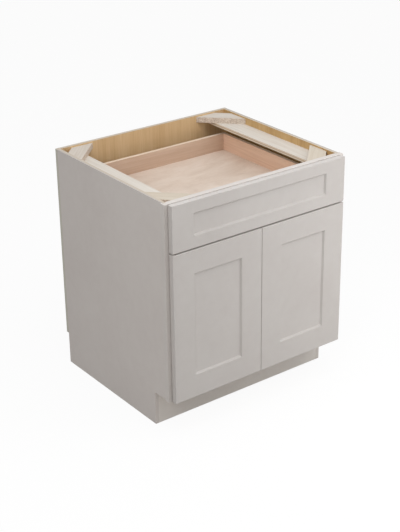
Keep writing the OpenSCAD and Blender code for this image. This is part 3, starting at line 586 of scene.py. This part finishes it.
def eased_piece(node, low, high, eased):
    """A painted piece with its outer arrises rounded, and the arris of its sloped inner edge just broken."""
    mesh = clean_copy(node)
    outer = {face for face in mesh.faces if is_outer(face, low, high)}
    arris = [
        edge for edge in mesh.edges
        if len(edge.link_faces) == 2 and all(f in outer for f in edge.link_faces)
        and edge.calc_face_angle() > ARRIS
    ]
    round_edges(mesh, arris, eased)
    lips = [
        edge for edge in mesh.edges
        if len(edge.link_faces) == 2 and sum(on_front(f, low) for f in edge.link_faces) == 1
        and any(is_slope(f) for f in edge.link_faces)
    ]
    round_edges(mesh, lips, SLOPE_EASED)
    add_piece(node, "_painted", mesh)


for front, nodes in FRONTS.items():
    box_low, box_high = union_box(nodes)
    for node_name in nodes:
        eased_piece(node_name, box_low, box_high, EASED.get(front, FRONT_EASED))

# Screws: the flat heads of the solids get a rounded rim and a cross recess, inside the same outline.
# A recess is given by its depth; head sizes are told by the radius of their flat top.
SCREWS = {"carcass_screws": 1.1 * MM, "drawer_screws": 1.1 * MM,
          "left_hinge_cup_screws": 0.6 * MM, "right_hinge_cup_screws": 0.6 * MM}
HEAD_RADIUS = 2.4 * MM
RIM_ROUND = 0.35 * MM
ARM, HALF_ARM, FOOT_SCALE = 1.9 * MM, 0.45 * MM, 0.55
CROSS = [
    (ARM, -HALF_ARM), (ARM, HALF_ARM), (HALF_ARM, HALF_ARM), (HALF_ARM, ARM),
    (-HALF_ARM, ARM), (-HALF_ARM, HALF_ARM), (-ARM, HALF_ARM), (-ARM, -HALF_ARM),
    (-HALF_ARM, -HALF_ARM), (-HALF_ARM, -ARM), (HALF_ARM, -ARM), (HALF_ARM, -HALF_ARM),
]
# Fewest corners of a round head's flat top
ROUND_CORNERS = 20


def head_tops(mesh):
    """The whole discs wider than a screw's shank."""
    def reach(face):
        centre = face.calc_center_bounds()
        return min((v.co - centre).length for v in face.verts)
    return [face for face in mesh.faces if len(face.verts) > ROUND_CORNERS and reach(face) > HEAD_RADIUS]


def cut_cross(mesh, top, depth):
    normal, centre = top.normal.copy(), top.calc_center_bounds()
    across = (top.verts[0].co - centre).normalized()
    up = normal.cross(across)
    rim = list(top.edges)
    bmesh.ops.delete(mesh, geom=[top], context="FACES_ONLY")
    mouth = [mesh.verts.new(centre + across * x + up * y) for x, y in CROSS]
    foot = [mesh.verts.new(centre + (across * x + up * y) * FOOT_SCALE - normal * depth) for x, y in CROSS]
    mesh.faces.new(foot)
    for i in range(len(CROSS)):
        mesh.faces.new((mouth[i - 1], mouth[i], foot[i], foot[i - 1]))
    rim += [mesh.edges.get((mouth[i - 1], mouth[i])) for i in range(len(CROSS))]
    bmesh.ops.triangle_fill(mesh, use_beauty=True, edges=rim, normal=normal)


for node_name, recess in SCREWS.items():
    screws = clean_copy(node_name)
    round_edges(screws, list({edge for face in head_tops(screws) for edge in face.edges}), RIM_ROUND)
    for head in head_tops(screws):
        cut_cross(screws, head, recess)
    bmesh.ops.recalc_face_normals(screws, faces=screws.faces)
    add_piece(node_name, "_crossed", screws)

# Every other part keeps its own node, with its edges broken by a modifier.
# The widths are in mm, by what is in the name.
EDGE_BREAK = {"screws": 0.15, "slide": 0.25, "hinge": 0.3, "supports": 0.3, "bumper": 0.6, "drawer_": 0.3}
PLAIN_BREAK = 0.5
REPLACED = {node for nodes in FRONTS.values() for node in nodes} | set(SCREWS)
for node_name, part in NODES.items():
    part.data.materials.clear()
    part.data.materials.append(material_for(node_name))
    if node_name in REPLACED:
        continue
    width = next((w for key, w in EDGE_BREAK.items() if key in node_name), PLAIN_BREAK)
    weld = part.modifiers.new("weld", "WELD")
    weld.merge_threshold = WELD
    flatten = part.modifiers.new("whole_faces", "DECIMATE")
    flatten.decimate_type = "DISSOLVE"
    flatten.angle_limit = FLAT
    broken = part.modifiers.new("broken_edges", "BEVEL")
    broken.width = width * MM
    broken.segments = 2
    broken.limit_method = "ANGLE"
    broken.angle_limit = CORNER
    broken.harden_normals = False
    sharpen(part)


# Floor, world and lamps
FLOOR_REACH = 40.0
FLOOR_BOUNCE = (srgb(168, 166, 163), srgb(166, 164, 161))
# Share of plain white in the floor as it is seen; the rest shows the object's shadow
FLOOR_GLOW = 0.92


def seen_directly(tree):
    """1 for camera rays and for the rays that metal and clear parts send out, and 0 for diffuse light."""
    path = tree.nodes.new("ShaderNodeLightPath")
    seen = path.outputs["Is Camera Ray"]
    for ray in ("Is Glossy Ray", "Is Transmission Ray"):
        either = tree.nodes.new("ShaderNodeMath")
        either.operation = "MAXIMUM"
        tree.links.new(seen, either.inputs[0])
        tree.links.new(path.outputs[ray], either.inputs[1])
        seen = either.outputs[0]
    return seen


def floor():
    """Plain floor: almost white where it is seen, and a softer grey in the light that it throws back."""
    data = bpy.data.meshes.new("floor")
    corners = [(x * FLOOR_REACH, y * FLOOR_REACH, 0) for x, y in ((-1, -1), (1, -1), (1, 1), (-1, 1))]
    data.from_pydata(corners, [], [(0, 1, 2, 3)])
    ground = bpy.data.objects.new("floor", data)
    bpy.context.scene.collection.objects.link(ground)
    look = Look("pale_floor")
    seen = seen_directly(look.tree)
    grain = look.noise(look.place(), scale=FLOOR_CLOUD, detail=2.0)
    bounce = look.ramp(grain, (0.3, FLOOR_BOUNCE[1]), (0.7, FLOOR_BOUNCE[0]))
    look.finish(look.mix(seen, bounce, WHITE), 0.9, specular=0.0)
    glow = look.add("ShaderNodeEmission", Color=WHITE, Strength=1.0)
    share = look.math("MULTIPLY", seen, FLOOR_GLOW)
    mixed = look.add("ShaderNodeMixShader")
    look.feed(mixed.inputs[0], share)
    look.feed(mixed.inputs[1], look.shader.outputs[0])
    look.feed(mixed.inputs[2], glow.outputs[0])
    look.feed(look.tree.nodes["Material Output"].inputs["Surface"], mixed.outputs[0])
    data.materials.append(look.material)


def world(horizon, rise):
    """Soft studio light, brighter overhead than at the horizon, and plain white where it is seen."""
    sky = bpy.data.worlds.new("studio")
    sky.use_nodes = True
    tree = sky.node_tree
    soft = tree.nodes["Background"]
    soft.inputs["Color"].default_value = WHITE
    height = tree.nodes.new("ShaderNodeSeparateXYZ")
    tree.links.new(tree.nodes.new("ShaderNodeTexCoord").outputs["Generated"], height.inputs[0])
    brighter = tree.nodes.new("ShaderNodeMapRange")
    tree.links.new(height.outputs["Z"], brighter.inputs["Value"])
    brighter.inputs["To Min"].default_value = horizon
    brighter.inputs["To Max"].default_value = horizon + rise
    tree.links.new(brighter.outputs["Result"], soft.inputs["Strength"])
    white = tree.nodes.new("ShaderNodeBackground")
    white.inputs["Color"].default_value = WHITE
    white.inputs["Strength"].default_value = 1.0
    mixed = tree.nodes.new("ShaderNodeMixShader")
    tree.links.new(seen_directly(tree), mixed.inputs[0])
    tree.links.new(soft.outputs[0], mixed.inputs[1])
    tree.links.new(white.outputs[0], mixed.inputs[2])
    tree.links.new(mixed.outputs[0], tree.nodes["World Output"].inputs["Surface"])
    bpy.context.scene.world = sky


def lamp(name, at, aim, size, power):
    data = bpy.data.lights.new(name, "AREA")
    data.shape = "SQUARE"
    data.size = size
    data.energy = power
    light = bpy.data.objects.new(name, data)
    light.location = at
    light.rotation_euler = (Vector(aim) - Vector(at)).to_track_quat("-Z", "Y").to_euler()
    bpy.context.scene.collection.objects.link(light)


floor()
world(0.195, 0.54)
lamp("top", (-0.15, -0.7, 2.4), (0.0, -0.1, 0.7), 1.6, 12.9)
lamp("key", (0.75, -1.05, 1.15), (0.2, -0.3, 0.65), 0.8, 4.3)
lamp("left", (-2.1, -0.2, 1.6), (-0.34, 0.0, 0.45), 1.0, 2.4)
lamp("left_fill", (-1.9, -1.6, 1.75), (-0.1, -0.3, 0.4), 0.6, 10.5)
lamp("right_fill", (0.7, -1.2, 0.35), (0.05, -0.25, 0.1), 0.5, 2.4)

# Camera, at the photograph's viewing angle
camera_data = bpy.data.cameras.new("camera")
camera_data.sensor_width = 36.0
camera_data.lens = 84.75
camera_data.shift_x = -0.069
camera_data.shift_y = -0.0133
camera = bpy.data.objects.new("camera", camera_data)
camera.location = (-2.2073, -2.9700, 2.1006)
camera.rotation_euler = (math.radians(65.23), 0.0, math.radians(-38.40))
bpy.context.scene.collection.objects.link(camera)
bpy.context.scene.camera = camera
bpy.context.scene.view_settings.view_transform = "Standard"
